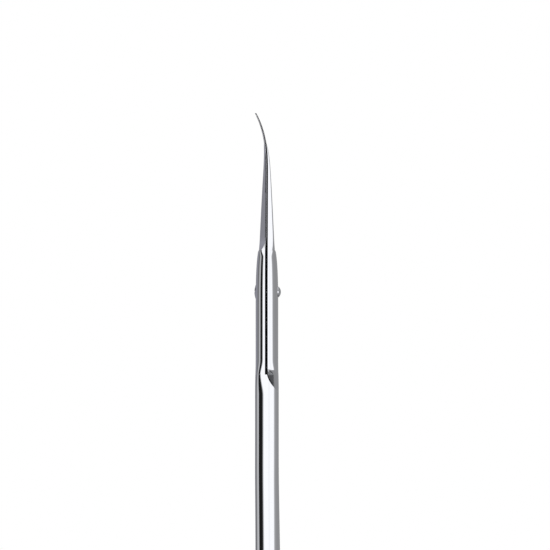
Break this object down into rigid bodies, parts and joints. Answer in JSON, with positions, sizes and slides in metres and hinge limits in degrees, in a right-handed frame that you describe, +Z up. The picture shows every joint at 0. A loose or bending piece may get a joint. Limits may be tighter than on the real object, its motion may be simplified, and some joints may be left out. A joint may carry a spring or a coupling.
{
  "type": "cuticle scissors",
  "caption": "Slim steel cuticle scissors with upturned needle tips, two forged halves crossing at a slotted pivot screw, and oval finger rings.",
  "frame": {"origin": "centre of the bounding box at its base, the table that the closed tool lies on", "axes": "+Y towards the tips, +Z up, the way the tips curve, +X to the side of the upper half's finger ring"},
  "size_m": [0.054, 0.11, 0.0046],
  "materials": {
    "polished_steel": "mirror polished stainless steel, ground on the blades",
    "screw_steel": "polished stainless steel"
  },
  "bodies": {
    "lower": {"lower_half": "polished_steel", "pivot_screw": "screw_steel"},
    "upper": {"upper_half": "polished_steel"}
  },
  "joints": [
    {"name": "pivot", "type": "hinge", "parent": "lower", "child": "upper", "pos_m": [0, 0.0237, 0.00244], "axis": [0, 0, 1], "range_deg": [0, 60]}
  ]
}
